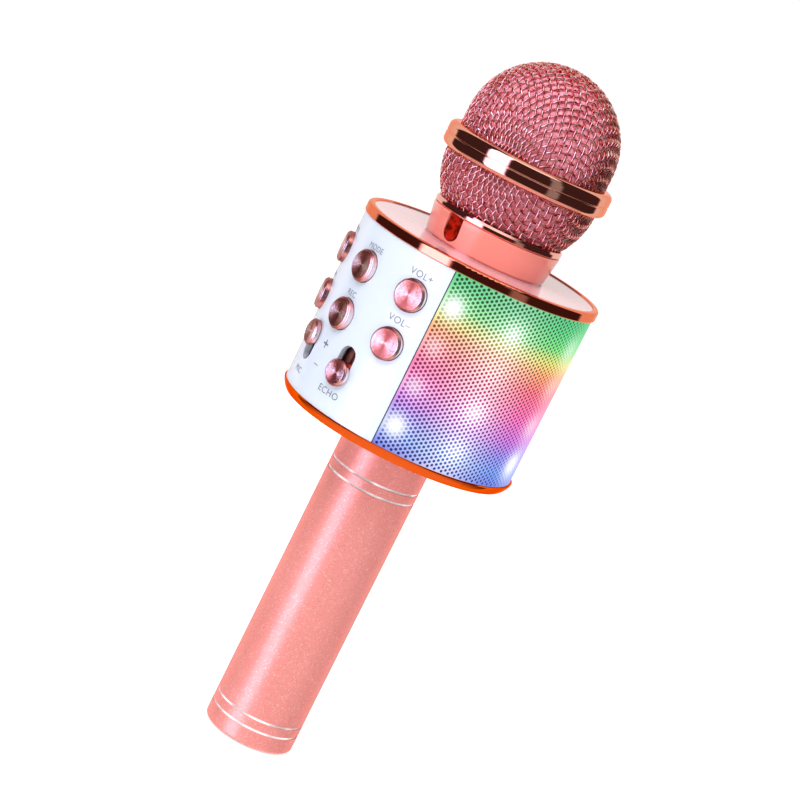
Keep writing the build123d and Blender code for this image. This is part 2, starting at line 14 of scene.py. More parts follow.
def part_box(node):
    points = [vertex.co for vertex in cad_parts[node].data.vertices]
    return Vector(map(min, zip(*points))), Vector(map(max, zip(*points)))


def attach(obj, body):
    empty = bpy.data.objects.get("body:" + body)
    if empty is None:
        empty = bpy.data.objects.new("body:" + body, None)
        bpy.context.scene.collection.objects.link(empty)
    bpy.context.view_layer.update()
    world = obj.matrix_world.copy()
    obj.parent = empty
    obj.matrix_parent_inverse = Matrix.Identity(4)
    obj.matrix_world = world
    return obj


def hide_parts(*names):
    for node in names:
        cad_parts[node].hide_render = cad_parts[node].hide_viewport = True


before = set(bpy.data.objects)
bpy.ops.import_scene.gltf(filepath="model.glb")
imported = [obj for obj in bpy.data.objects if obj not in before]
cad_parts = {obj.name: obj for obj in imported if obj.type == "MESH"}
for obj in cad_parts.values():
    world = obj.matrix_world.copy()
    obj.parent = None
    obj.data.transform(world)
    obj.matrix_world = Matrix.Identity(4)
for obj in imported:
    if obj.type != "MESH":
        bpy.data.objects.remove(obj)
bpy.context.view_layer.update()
MM = 0.001

# ---- sizes read from the frame -----------------------------------------------------------------
GRILLE_LO, GRILLE_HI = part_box("speaker_grille")
DOME_LO, DOME_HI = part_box("grille_dome")
CUP_LO, CUP_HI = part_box("grille_cup")
FOAM_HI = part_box("foam_liner")[1]
GRILLE_R = GRILLE_HI.x
PANEL_R = -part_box("control_panel")[0].y
COLLAR_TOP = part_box("neck_collar")[1].z

# ---- sizes of what only the visual model has ----------------------------------------------------
GROOVE_HEIGHTS = [z * MM for z in (6.4, 10.1, 93.9, 97.5)]
GROOVE_WIDTH = 0.9 * MM

PANEL_HALF_ANGLE = 43.1
SEAM_ANGLE = 0.5
PAINTED_WEDGE_TURN = 0.9  # where the painted highlight wedges stand on a button's spun face, in radians
PRINT_PROUD = 0.03 * MM
PRINT_THICKNESS = 0.04 * MM

GRILLE_PIECES = 6
HOLE_PITCH = 1.44 * MM
HOLE_R = 0.5 * MM
HOLE_MARGIN = 0.1 * MM  # least solid sheet between a hole and the grille's edge
SHEET_THICKNESS = 0.2 * MM
CLOTH_GAP = 0.1 * MM
CLOTH_BACK = 1.25 * MM  # how far the cloth's inner face lies behind the sheet's outer face
LED_ROWS = [z * MM for z in (122.5, 136.0, 149.5, 163.0)]
LED_SPOT_R = 4.7 * MM
# How brightly each LED shows through the grille: a column's azimuth, then its LEDs from the lowest up.
LED_GLOW = {
    49.1: (1.0, 0.6, 0.55, 1.0),
    79.6: (0.5, 0.6, 0.25, 0.6),
    120.1: (1.0, 0.45, 0.3, 0.45),
    160.1: (0.6, 0.7, 0.5, 0.8),
}

WIRE_R = 0.36 * MM
WIRE_SIDES = 6
WIRE_PITCH = 2.4 * MM
PITCH_STEPS = 4  # points along a wire in one pitch
WEAVE_TURN = radians(-12.0)  # azimuth of one of the dome's straight wires
NET_SIZE = 19  # wires counted from the pole, enough to reach the band on every side
CUP_SPHERE_R = 25.9 * MM

FOAM_FOOT = CUP_LO.z
FOAM_FOOT_R = 17.4 * MM  # inside
FOAM_CONE_END = (20.4 * MM, 199.0 * MM)  # inner radius and height where the inside's lower cone ends
FOAM_WALL = 3.2 * MM
FOAM_GAP = 0.6 * MM  # between the foam and the bowl's wires
TORN_DEPTH = 0.25 * MM

# ---- camera --------------------------------------------------------------------------------------
CAMERA_AIM = Vector((-0.0022, -0.0028, 0.1224))
CAMERA_BACK = Vector((0.7676, -0.6106, 0.1949)).normalized()  # from the aim point to the camera
CAMERA_DISTANCE = 0.803
CAMERA_ROLL = radians(26.4)
CAMERA_LENS = 112.8
CAMERA_AZIMUTH = 51.5


# ==== node helper =================================================================================
class Graph:
    """A small wrapper that makes shader nodes and links them in one call."""

    def __init__(self, tree):
        self.tree = tree
        tree.nodes.clear()

    def add(self, kind, inputs=None, **settings):
        node = self.tree.nodes.new(kind)
        for key, value in settings.items():
            setattr(node, key, value)
        for key, value in (inputs or {}).items():
            if isinstance(value, bpy.types.NodeSocket):
                self.tree.links.new(value, node.inputs[key])
            else:
                node.inputs[key].default_value = value
        return node

    def math(self, operation, *values, clamp=False):
        node = self.add("ShaderNodeMath", dict(enumerate(values)), operation=operation)
        node.use_clamp = clamp
        return node.outputs[0]

    def total(self, values):
        result = values[0]
        for value in values[1:]:
            result = self.math("ADD", result, value)
        return result

    def mix(self, factor, a, b):
        node = self.add("ShaderNodeMix", {"Factor": factor}, data_type="RGBA")
        for key, value in ((6, a), (7, b)):
            if isinstance(value, bpy.types.NodeSocket):
                self.tree.links.new(value, node.inputs[key])
            else:
                node.inputs[key].default_value = value
        return node.outputs[2]

    def ramp(self, factor, stops):
        node = self.add("ShaderNodeValToRGB", {"Fac": factor})
        elements = node.color_ramp.elements
        while len(elements) < len(stops):
            elements.new(1.0)
        for element, (position, colour) in zip(elements, sorted(stops)):
            element.position = position
            element.color = rgba(colour)
        return node.outputs[0]

    def step(self, value, low, high):
        """0 below low, 1 above high, smooth between."""
        inputs = {"Value": value, "From Min": low, "From Max": high}
        return self.add("ShaderNodeMapRange", inputs, interpolation_type="SMOOTHSTEP").outputs[0]

    def bell(self, value, centre, width):
        """A Gaussian bump of 1 at the centre."""
        off = self.math("DIVIDE", self.math("SUBTRACT", value, centre), width)
        return self.math("EXPONENT", self.math("MULTIPLY", self.math("MULTIPLY", off, off), -1.0))

    def place(self):
        """Where a point is on the object: its coordinates in the frame, as a vector and as x, y, z."""
        vector = self.add("ShaderNodeTexCoord").outputs["Object"]
        return vector, self.add("ShaderNodeSeparateXYZ", {0: vector}).outputs

    def round_axis(self, xyz):
        """A point's azimuth in degrees, from -180 to 180."""
        angle = self.math("ARCTAN2", xyz[0], self.math("MULTIPLY", xyz[1], -1.0))
        return self.math("MULTIPLY", angle, 180.0 / pi)

    def noise(self, vector, scale, detail=2.0, roughness=0.5):
        inputs = {"Vector": vector, "Scale": scale, "Detail": detail, "Roughness": roughness}
        return self.add("ShaderNodeTexNoise", inputs).outputs["Fac"]

    def vector(self, operation, *values):
        return self.add("ShaderNodeVectorMath", dict(enumerate(values)), operation=operation).outputs

    def bump(self, height, distance, strength):
        inputs = {"Height": height, "Distance": distance, "Strength": strength}
        return self.add("ShaderNodeBump", inputs).outputs[0]


def rgba(colour):
    return (*colour[:3], 1.0)


def material(name, build, **sockets):
    """Makes a material: build(graph) gives the linked inputs, and sockets are the constant ones."""
    made = bpy.data.materials.new(name)
    made.use_nodes = True
    graph = Graph(made.node_tree)
    shader = graph.add("ShaderNodeBsdfPrincipled")
    graph.add("ShaderNodeOutputMaterial", {"Surface": shader.outputs[0]})
    for key, value in sockets.items():
        shader.inputs[key.replace("_", " ")].default_value = value
    for key, value in build(graph).items():
        made.node_tree.links.new(value, shader.inputs[key])
    return made


# ==== materials ===================================================================================
def speckled(colour, dark, scale=900.0, bump=0.00002, rough=(0.3, 0.45)):
    """Inputs of a moulded or painted surface: faint cloudy colour, fine grain and uneven gloss."""

    def build(g):
        vector, _ = g.place()
        cloud = g.noise(vector, 60.0, 3.0)
        grain = g.noise(vector, scale, 2.0)
        tint = g.mix(g.math("MULTIPLY", cloud, 0.8), rgba(colour), rgba(dark))
        inputs = {"Value": cloud, "To Min": rough[0], "To Max": rough[1]}
        return {
            "Base Color": tint,
            "Roughness": g.add("ShaderNodeMapRange", inputs).outputs[0],
            "Normal": g.bump(grain, bump, 0.5),
        }

    return build


def pearl_paint(g):
    """Rose pearlescent paint with metal flake, and bright turned metal in the handle's grooves."""
    vector, xyz = g.place()
    flake_inputs = {"Vector": vector, "Scale": 3600.0}
    flake = g.add("ShaderNodeTexVoronoi", flake_inputs).outputs["Color"]
    flake_size = g.add("ShaderNodeSeparateXYZ", {0: flake}).outputs
    sparkle = g.step(flake_size[0], 0.90, 0.98)
    dull = g.step(flake_size[2], 0.12, 0.02)
    cloud = g.noise(vector, 35.0, 3.0)
    body = g.mix(cloud, rgba((0.84, 0.29, 0.25)), rgba((0.90, 0.35, 0.32)))
    body = g.mix(g.math("MULTIPLY", sparkle, 0.45), body, rgba((1.0, 0.78, 0.76)))
    body = g.mix(g.math("MULTIPLY", dull, 0.5), body, rgba((0.62, 0.20, 0.17)))
    grain = g.noise(vector, 2600.0, 1.0)
    lines = [g.math("ABSOLUTE", g.math("SUBTRACT", xyz[2], z)) for z in GROOVE_HEIGHTS]
    nearest = lines[0]
    for line in lines[1:]:
        nearest = g.math("MINIMUM", nearest, line)
    metal = g.step(nearest, GROOVE_WIDTH * 0.50, GROOVE_WIDTH * 0.40)
    streak = g.noise(vector, 140.0, 2.0)
    silver = g.mix(g.step(streak, 0.35, 0.65), rgba((0.50, 0.46, 0.46)), rgba((0.98, 0.97, 0.98)))
    height = g.math("MULTIPLY_ADD", flake_size[1], 0.5, g.math("MULTIPLY", grain, 0.5))
    return {
        "Base Color": g.mix(metal, body, silver),
        "Roughness": g.math("MULTIPLY_ADD", grain, 0.10, 0.28),
        "Metallic": g.math("MULTIPLY", g.math("SUBTRACT", 1.0, metal), 0.38),
        "Normal": g.bump(height, 0.000012, 0.5),
    }


def plating(colour):
    """Polished plating: very smooth, with the faint ripple and haze of plated plastic."""

    def build(g):
        vector, _ = g.place()
        ripple = g.noise(vector, 45.0, 1.0)
        haze = g.noise(vector, 420.0, 3.0)
        deep = tuple(c * 0.86 for c in colour)
        return {
            "Base Color": g.mix(haze, rgba(colour), rgba(deep)),
            "Roughness": g.math("MULTIPLY_ADD", haze, 0.07, 0.03),
            "Normal": g.bump(ripple, 0.00002, 0.6),
        }

    return build


def wire_metal(g):
    """Plated wire: rose metal, with darker and redder patches."""
    vector, _ = g.place()
    patch = g.noise(vector, 700.0, 2.0)
    fine = g.noise(vector, 3000.0, 1.0)
    return {
        "Base Color": g.mix(g.step(patch, 0.3, 0.7), rgba((1.0, 0.76, 0.73)), rgba((0.68, 0.17, 0.13))),
        "Roughness": g.math("MULTIPLY_ADD", fine, 0.12, 0.05),
        "Normal": g.bump(fine, 0.00002, 0.5),
    }


def key_plating(g):
    """The head's base ring: rose plating above the collar, and painted deep red slot shade on the keys."""
    vector, xyz = g.place()
    haze = g.noise(vector, 420.0, 3.0)
    # Painted slot shade and reflection: deep red with darker streaks, and less metal, below the collar.
    streak = g.step(g.noise(vector, 330.0, 2.0), 0.42, 0.60)
    red = g.mix(streak, rgba((0.55, 0.015, 0.004)), rgba((0.12, 0.004, 0.002)))
    low = g.step(xyz[2], COLLAR_TOP, COLLAR_TOP - 0.2 * MM)
    return {
        "Base Color": g.mix(low, rgba((0.90, 0.46, 0.38)), red),
        "Roughness": g.math("MULTIPLY_ADD", haze, 0.07, 0.05),
        "Metallic": g.math("MULTIPLY_ADD", low, -0.65, 1.0),
        "Normal": g.bump(g.noise(vector, 45.0, 1.0), 0.00002, 0.6),
    }


def foam_cells(g):
    """Open-cell foam: mauve pink, mottled, with small pores painted dark as their shade."""
    vector, _ = g.place()
    cells = {"Vector": vector, "Scale": 1300.0}
    pore = g.add("ShaderNodeTexVoronoi", cells).outputs["Distance"]
    cloud = g.noise(vector, 260.0, 3.0)
    # Painted shade: darkest at the middle of each pore, lightest on the walls between them.
    tint = g.ramp(
        g.math("MULTIPLY_ADD", pore, 0.6, g.math("MULTIPLY", cloud, 0.5)),
        [(0.15, (0.36, 0.08, 0.12)), (0.45, (0.66, 0.19, 0.26)), (0.8, (0.90, 0.38, 0.48))],
    )
    return {"Base Color": tint, "Normal": g.bump(pore, 0.0002, 0.8)}


def spun_metal_and_painted_highlight(centre, azimuth):
    """Inputs of a button's face: metal turned on a lathe, with fine rings round its own axis.

    Two opposite wedges, bright and dark, are painted into its colour: a painted highlight like a spun
    disc's.
    """

    def build(g):
        a = radians(azimuth)
        axis = Vector((sin(a), -cos(a), 0.0))
        vector, _ = g.place()
        arm = g.vector("SUBTRACT", vector, centre)[0]
        tangent = g.vector("CROSS_PRODUCT", axis, arm)[0]
        distance = g.vector("LENGTH", tangent)["Value"]
        upward = g.add("ShaderNodeSeparateXYZ", {0: arm}).outputs[2]
        sideways = g.vector("DOT_PRODUCT", arm, (cos(a), sin(a), 0.0))["Value"]
        turn = g.math("ARCTAN2", upward, sideways)
        wobble = g.noise(vector, 900.0, 2.0)
        offset = g.math("MULTIPLY_ADD", wobble, 1.2, PAINTED_WEDGE_TURN)
        # Painted highlight: two bright wedges and two dark ones turning round the button's axis.
        painted_highlight_wedge = g.math("SINE", g.math("MULTIPLY_ADD", turn, 2.0, offset))
        rings = g.math("SINE", g.math("MULTIPLY_ADD", distance, tau / (0.42 * MM), wobble))
        fine = g.math("SINE", g.math("MULTIPLY", distance, tau / (0.13 * MM)))
        height = g.math("MULTIPLY_ADD", fine, 0.35, rings)
        shade = g.math("MULTIPLY_ADD", rings, 0.22, painted_highlight_wedge)
        # The ramp paints the highlight from dark red-brown in the dark wedges to pale pink in the bright
        # ones.
        tint = g.ramp(
            g.math("MULTIPLY_ADD", shade, 0.4, 0.5),
            [
                (0.05, (0.26, 0.06, 0.05)),
                (0.35, (0.70, 0.26, 0.22)),
                (0.70, (0.98, 0.56, 0.54)),
                (0.95, (1.0, 0.86, 0.86)),
            ],
        )
        return {
            "Base Color": tint,
            "Roughness": g.math("MULTIPLY_ADD", wobble, 0.10, 0.20),
            "Normal": g.bump(height, 0.000022, 0.8),
            "Tangent": g.vector("NORMALIZE", tangent)[0],
        }

    return build


def lights_behind(g):
    """What the drum's skin shows: the saturated colour shining through, a painted reflection, the LED
    spots.

    The colour runs from blue at the bottom through magenta, red and yellow to green at the top, and
    the bands sink a little towards the back.
    """
    _, xyz = g.place()
    azimuth = g.math("ABSOLUTE", g.round_axis(xyz))
    level = g.math("DIVIDE", g.math("SUBTRACT", xyz[2], GRILLE_LO.z), GRILLE_HI.z - GRILLE_LO.z)
    round_back = {"Value": azimuth, "From Min": 48.0, "From Max": 128.0, "To Min": -0.01, "To Max": 0.02}
    level = g.math("ADD", level, g.add("ShaderNodeMapRange", round_back).outputs[0])
    glow = g.ramp(
        level,
        [
            (0.00, (0.01, 0.06, 0.72)),
            (0.10, (0.05, 0.24, 0.92)),
            (0.19, (0.20, 0.14, 0.86)),
            (0.28, (0.56, 0.05, 0.74)),
            (0.42, (0.95, 0.02, 0.40)),
            (0.58, (1.00, 0.04, 0.10)),
            (0.68, (1.00, 0.30, 0.03)),
            (0.75, (0.78, 0.72, 0.05)),
            (0.83, (0.08, 0.74, 0.10)),
            (0.92, (0.00, 0.62, 0.14)),
            (1.00, (0.00, 0.52, 0.14)),
        ],
    )
    rows = [g.bell(xyz[2], z, LED_SPOT_R) for z in LED_ROWS]
    columns = []
    for led_azimuth, strengths in LED_GLOW.items():
        lit = [g.math("MULTIPLY", row, strength) for row, strength in zip(rows, strengths)]
        column = g.bell(azimuth, led_azimuth, LED_SPOT_R / GRILLE_R * 180.0 / pi)
        columns.append(g.math("MULTIPLY", column, g.total(lit)))
    spot = g.total(columns)
    # Painted reflection of the soft boxes: two upright pale bands round the skin, where it would mirror
    # them.
    far_reflection_band = g.math("MULTIPLY", g.bell(azimuth, 145.0, 24.0), 0.6)
    middle = g.math("ADD", g.bell(azimuth, 76.0, 19.0), far_reflection_band)
    body = g.math("MULTIPLY", g.step(level, 0.98, 0.72), g.step(level, -0.25, 0.10))
    pale = g.math("MULTIPLY", middle, g.math("MULTIPLY_ADD", body, 0.42, 0.16))
    return glow, pale, spot


def lit_sheet(g):
    """The perforated skin's web, which glows with the light behind it, paler in the painted reflection."""
    glow, pale, spot = lights_behind(g)
    whiten = g.math("ADD", g.math("ADD", pale, 0.09), g.math("MULTIPLY", spot, 0.85), clamp=True)
    colour = g.mix(whiten, glow, rgba((1.0, 1.0, 1.0)))
    return {"Emission Color": colour, "Base Color": g.mix(0.94, glow, rgba((0.02, 0.02, 0.02)))}


def lit_cloth(g):
    """The dark cloth seen through the holes: a deep tint of the light behind it, bright at the LEDs."""
    glow, pale, spot = lights_behind(g)
    vector, _ = g.place()
    weave = g.noise(vector, 2200.0, 3.0)
    # Lighter in the painted reflection of the soft boxes, as the web is.
    deep = g.math("MULTIPLY_ADD", pale, 0.55, 0.04)
    unevenness = g.math("MULTIPLY_ADD", weave, 0.6, 0.7)
    shine = g.math("MULTIPLY", g.math("ADD", deep, spot), unevenness, clamp=True)
    tint = g.mix(g.step(spot, 0.25, 0.95), glow, rgba((0.95, 0.97, 1.0)))
    return {
        "Emission Color": g.mix(shine, rgba((0.004, 0.003, 0.006)), tint),
        "Base Color": g.mix(weave, rgba((0.012, 0.010, 0.016)), rgba((0.03, 0.02, 0.04))),
    }


def circuit(g):
    """Solder mask with copper tracks showing through."""
    vector, _ = g.place()
    tracks = g.add("ShaderNodeTexBrick", {"Vector": vector, "Scale": 260.0, "Mortar Size": 0.06})
    tint = g.mix(tracks.outputs["Fac"], rgba((0.02, 0.16, 0.07)), rgba((0.06, 0.33, 0.14)))
    return {"Base Color": tint, "Normal": g.bump(tracks.outputs["Fac"], 0.00003, 0.5)}


def milled(colour):
    """Inputs of a brushed or pressed metal part."""

    def build(g):
        vector, _ = g.place()
        stretched = g.add("ShaderNodeMapping", {"Vector": vector, "Scale": (1.0, 1.0, 14.0)}).outputs[0]
        brush = g.noise(stretched, 260.0, 3.0)
        worn = tuple(c * 0.75 for c in colour)
        return {
            "Base Color": g.mix(brush, rgba(colour), rgba(worn)),
            "Roughness": g.math("MULTIPLY_ADD", brush, 0.2, 0.22),
            "Normal": g.bump(brush, 0.00001, 0.5),
        }

    return build


def fibres(colour, dark, scale):
    """Inputs of woven cloth or paper pulp."""

    def build(g):
        vector, _ = g.place()
        weave = g.noise(vector, scale, 4.0, 0.7)
        return {"Base Color": g.mix(weave, rgba(colour), rgba(dark)), "Normal": g.bump(weave, 0.0001, 0.7)}

    return build


def plated(name, colour, edge):
    """A plating that mirrors in one colour face on and in another at grazing angles."""
    return material(name, plating(colour), Metallic=1.0, Specular_Tint=rgba(edge))


MATERIALS = {
    "handle": material(
        "pearl_handle", pearl_paint, Specular_IOR_Level=0.08, Specular_Tint=rgba((1.0, 0.32, 0.26))
    ),
    "top_rim": plated("rim_plating", (0.92, 0.28, 0.17), (1.0, 0.62, 0.45)),
    "bottom_rim": plated("lower_rim_plating", (1.0, 0.17, 0.025), (1.0, 0.35, 0.15)),
    "band": plated("band_plating", (0.94, 0.50, 0.38), (1.0, 0.55, 0.42)),
    "base_ring": material("key_plating", key_plating),
    "bronze": material("slot_bronze", milled((0.60, 0.24, 0.17)), Metallic=1.0),
    "panel": material(
        "panel_gloss",
        speckled((0.55, 0.62, 0.72), (0.52, 0.59, 0.69), 700.0, 0.000006, (0.16, 0.24)),
        Coat_Weight=0.1,
    ),
    "cover": material(
        "cover_gloss",
        speckled((0.72, 0.47, 0.52), (0.66, 0.41, 0.46), 800.0, 0.000008, (0.10, 0.18)),
        Coat_Weight=0.6,
    ),
    "neck": material(
        "neck_satin",
        speckled((0.87, 0.28, 0.22), (0.83, 0.25, 0.20), 1800.0, 0.000003, (0.20, 0.28)),
        Metallic=0.15,
        Coat_Weight=0.4,
        Coat_Roughness=0.12,
    ),
    "wire": material("wire_plating", wire_metal, Metallic=1.0, Specular_Tint=rgba((1.0, 0.55, 0.5))),
    "foam": material("head_foam", foam_cells, Roughness=0.95),
    "lit_sheet": material(
        "lit_sheet", lit_sheet, Roughness=0.5, Specular_IOR_Level=0.2, Emission_Strength=1.0
    ),
    "lit_cloth": material("acoustic_cloth", lit_cloth, Roughness=0.95, Emission_Strength=1.0),
    "black_plastic": material("black_moulding", speckled((0.03, 0.03, 0.035), (0.05, 0.05, 0.055))),
    "white_plastic": material("white_moulding", speckled((0.80, 0.80, 0.80), (0.70, 0.70, 0.72))),
    "ink": material("grey_ink", speckled((0.10, 0.11, 0.13), (0.16, 0.17, 0.20), 3000.0)),
    "board": material("circuit_board", circuit, Roughness=0.3),
    "steel": material("steel", milled((0.62, 0.62, 0.64)), Metallic=1.0),
    "brass": material("brass", milled((0.80, 0.58, 0.25)), Metallic=1.0),
    "rubber": material(
        "rubber", speckled((0.02, 0.02, 0.02), (0.035, 0.035, 0.035), 1500.0, 0.00005, (0.6, 0.8))
    ),
    "paper": material(
        "paper_cone", fibres((0.03, 0.03, 0.035), (0.07, 0.07, 0.07), 900.0), Roughness=0.9
    ),
    "ferrite": material(
        "ferrite", speckled((0.06, 0.06, 0.065), (0.10, 0.10, 0.10), 500.0, 0.00008, (0.5, 0.7))
    ),
    "sleeve": material("cell_sleeve", speckled((0.05, 0.22, 0.55), (0.04, 0.18, 0.48))),
    "lens": material("led_lens", speckled((0.90, 0.90, 0.80), (0.80, 0.82, 0.74))),
    "red_wire": material("red_insulation", speckled((0.55, 0.03, 0.02), (0.45, 0.03, 0.02))),
}

NODE_MATERIALS = {
    "handle": ["handle_tube"],
    "top_rim": ["top_rim"],
    "bottom_rim": ["bottom_rim"],
    "band": ["grille_band"],
    "base_ring": ["grille_base_ring"],
    "bronze": ["slide_controls"],
    "panel": ["control_panel"],
    "cover": ["top_cover", "bottom_cover"],
    "neck": ["neck_collar"],
    "black_plastic": [
        "end_cap", "audio_jack", "handle_core", "seam_gaskets", "tact_switches",
        "board_chips", "neck_socket", "capsule_pedestal",
    ],
    "white_plastic": ["battery_tray", "drum_frame", "key_carrier"],
    "board": ["port_board", "main_board", "led_strips"],
    "steel": [
        "usb_socket", "card_socket", "cover_screws", "board_screws", "speaker_screws", "mic_capsule",
        "speaker_basket_left", "speaker_basket_right",
    ],
    "brass": ["handle_nut", "battery_contacts"],
    "rubber": ["capsule_mount", "speaker_surround_left", "speaker_surround_right"],
    "paper": ["speaker_cone_left", "speaker_cone_right"],
    "ferrite": ["speaker_magnet_left", "speaker_magnet_right"],
    "sleeve": ["battery_cell"],
    "lens": ["leds"],
    "red_wire": ["battery_lead", "mic_lead"],
}
CONTROL_AZIMUTHS = {
    "button_power": -30.0,
    "button_play": -30.0,
    "button_mode": 0.0,
    "button_record": 0.0,
    "button_volume_up": 30.0,
    "button_volume_down": 30.0,
    "slider_microphone": -14.5,
    "slider_echo": 14.5,
}


def dress(node, made):
    """Gives a CAD node's object one material."""
    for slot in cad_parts[node].material_slots:
        slot.material = made


for key, nodes in NODE_MATERIALS.items():
    for node in nodes:
        dress(node, MATERIALS[key])
for node, azimuth in CONTROL_AZIMUTHS.items():
    low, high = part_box(node)
    face = spun_metal_and_painted_highlight((low + high) / 2, azimuth)
    dress(node, material(node + "_face", face, Metallic=1.0, Anisotropic=0.75))


# ==== pieces ======================================================================================
def piece(name, vertices, faces, made, body, replaces=(), smooth=True):
    """Makes a mesh piece that rides on a body."""
    mesh = bpy.data.meshes.new(name)
    mesh.from_pydata([tuple(v) for v in vertices], [], [tuple(f) for f in faces])
    mesh.validate()
    if smooth:
        mesh.shade_smooth()
    mesh.materials.append(made)
    made_object = bpy.data.objects.new(name, mesh)
    bpy.context.scene.collection.objects.link(made_object)
    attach(made_object, body)
    if replaces:
        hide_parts(*replaces)
    return made_object


def round_place(radius, azimuth, z):
    return (radius * sin(azimuth), -radius * cos(azimuth), z)


def on_dome(point):
    """The nearest point of the dome's surface, half a sphere on a short tube, and its outward normal."""
    centre = Vector((0.0, 0.0, DOME_HI.z - DOME_HI.x))
    arm = point - centre
    if arm.z < 0.0:
        arm.z = 0.0
        centre.z = point.z
    normal = arm.normalized()
    return centre + normal * (DOME_HI.x - 2 * WIRE_R), normal


def on_cup(point):
    """The same for the bowl below the band: part of a sphere, with its centre level with the band."""
    centre = Vector((0.0, 0.0, CUP_HI.z))
    normal = (point - centre).normalized()
    return centre + normal * (CUP_SPHERE_R - 2 * WIRE_R), normal


def pressed_net(surface, pole):
    """A quarter of a flat square mesh pressed onto a surface from its pole.

    Its wires keep their spacing and only shear, so each crossing is one pitch from its two neighbours.
    """
    net = {(0, 0): surface(pole)[0]}
    for k in range(1, NET_SIZE + 1):
        for key, back, push in (((k, 0), (k - 1, 0), (1, 0)), ((0, k), (0, k - 1), (0, 1))):
            last = net[back]
            before = net.get((back[0] - push[0], back[1] - push[1]))
            step = last - before if before else Vector((push[0], push[1], 0.0))
            net[key] = spaced(surface, last, last, step)
    for i in range(1, NET_SIZE + 1):
        for j in range(1, NET_SIZE + 1):
            a, b = net[i - 1, j], net[i, j - 1]
            net[i, j] = spaced(surface, a, b, (a + b) / 2 - net[i - 1, j - 1])
    return net


def spaced(surface, a, b, ahead):
    """The point of the surface ahead of a and b that is one wire pitch from both."""
    ahead = ahead.normalized()
    middle = (a + b) / 2
    reach = sqrt(max(WIRE_PITCH**2 - (a - b).length_squared / 4, 0.0))
    for _ in range(4):
        point = surface(middle + ahead * reach)[0]
        gap = ((point - a).length + (point - b).length) / 2
        reach *= WIRE_PITCH / gap
    return surface(middle + ahead * reach)[0]


def tube_along(points, normals, radius, sides, vertices, faces):
    """Adds a round wire along points; the normals fix how its section is turned."""
    tangents = np.gradient(points, axis=0)
    tangents /= np.linalg.norm(tangents, axis=1, keepdims=True)
    across = np.cross(tangents, normals)
    across /= np.linalg.norm(across, axis=1, keepdims=True)
    up = np.cross(across, tangents)
    first = len(vertices)
    for k in range(len(points)):
        for j in range(sides):
            a = tau * j / sides
            vertices.append(points[k] + radius * (cos(a) * up[k] + sin(a) * across[k]))
    for k in range(len(points) - 1):
        for j in range(sides):
            a, b = first + k * sides + j, first + k * sides + (j + 1) % sides
            faces.append((a, b, b + sides, a + sides))
    last = first + (len(points) - 1) * sides
    faces.append(tuple(first + sides - 1 - j for j in range(sides)))
    faces.append(tuple(last + j for j in range(sides)))


def crossing(net, i, j):
    """A wire crossing of the whole net, mirrored from its one modelled quarter."""
    corner = net[abs(i), abs(j)]
    return Vector((corner.x * (-1 if i < 0 else 1), corner.y * (-1 if j < 0 else 1), corner.z))


def wire_path(net, surface, family, fixed):
    """One wire's points on the surface, each with the normal there and how far the wire is off it."""
    path = []
    for step in range(-NET_SIZE * PITCH_STEPS, NET_SIZE * PITCH_STEPS + 1):
        along, part = divmod(step, PITCH_STEPS)
        ends = []
        for k in (along, min(along + 1, NET_SIZE)):
            i, j = (fixed, k) if family == 0 else (k, fixed)
            ends.append(crossing(net, i, j))
        flat, normal = surface(ends[0].lerp(ends[1], part / PITCH_STEPS))
        lift = (-1) ** (fixed + family) * WIRE_R * cos(pi * step / PITCH_STEPS)
        path.append((flat, normal, lift))
    return path


def woven_wires(name, surface, pole, low, high, node):
    """Plain woven wire cloth pressed onto a surface: each wire goes over and under its neighbours."""
    net = pressed_net(surface, pole)
    turned = Quaternion((0.0, 0.0, 1.0), WEAVE_TURN)
    vertices, faces = [], []
    for family in (0, 1):
        for fixed in range(-NET_SIZE, NET_SIZE + 1):
            path = wire_path(net, surface, family, fixed)
            for kept, run in groupby(path, key=lambda spot: low <= spot[0].z <= high):
                run = list(run)
                if kept and len(run) >= 3:
                    points = np.array([turned @ (flat + normal * lift) for flat, normal, lift in run])
                    normals = np.array([turned @ normal for _, normal, _ in run])
                    tube_along(points, normals, WIRE_R, WIRE_SIDES, vertices, faces)
    piece(name, vertices, faces, MATERIALS["wire"], "head", [node])


def foam_windscreen():
    """The foam under the wires: a turned shell with a torn, uneven surface."""
    radius = FOAM_HI.x
    centre_z = FOAM_HI.z - radius
    outer = [(radius * sin(a), centre_z + radius * cos(a)) for a in np.linspace(0.02, pi / 2, 70)]
    bowl_r = CUP_SPHERE_R - 4 * WIRE_R - FOAM_GAP
    for z in np.linspace(centre_z, FOAM_FOOT, 40)[1:]:
        sunk = max(0.0, CUP_HI.z - z)
        outer.append((min(radius, sqrt(bowl_r**2 - sunk**2)), z))
    hollow_r = radius - FOAM_WALL
    inner = [(FOAM_FOOT_R, FOAM_FOOT), FOAM_CONE_END]
    inner += [(hollow_r * sin(a), centre_z + hollow_r * cos(a)) for a in np.linspace(1.5, 0.02, 16)]
    profile = outer + inner
    around = 240
    vertices, faces = [], []
    for row, (r, z) in enumerate(profile):
        for j in range(around):
            x, y, height = round_place(r, tau * j / around, z)
            torn = noise.fractal(Vector((x, y, height)) * 620.0, 0.9, 2.0, 3)
            pull = 1.0
            if row < len(outer):
                pull += min(0.0, TORN_DEPTH * torn / max(r, 5 * MM))
            vertices.append((x * pull, y * pull, height))
    for row in range(len(profile) - 1):
        for j in range(around):
            a, b = row * around + j, row * around + (j + 1) % around
            faces.append((a, a + around, b + around, b))
    last = (len(profile) - 1) * around
    faces.append(tuple(range(around)))
    faces.append(tuple(last + around - 1 - j for j in range(around)))
    piece("foam_windscreen", vertices, faces, MATERIALS["foam"], "head", ["foam_liner"])


def thicken(made, thickness):
    """Gives a surface a wall that grows inwards from it."""
    wall = made.modifiers.new("thickness", "SOLIDIFY")
    wall.thickness = thickness
    wall.offset = -1.0


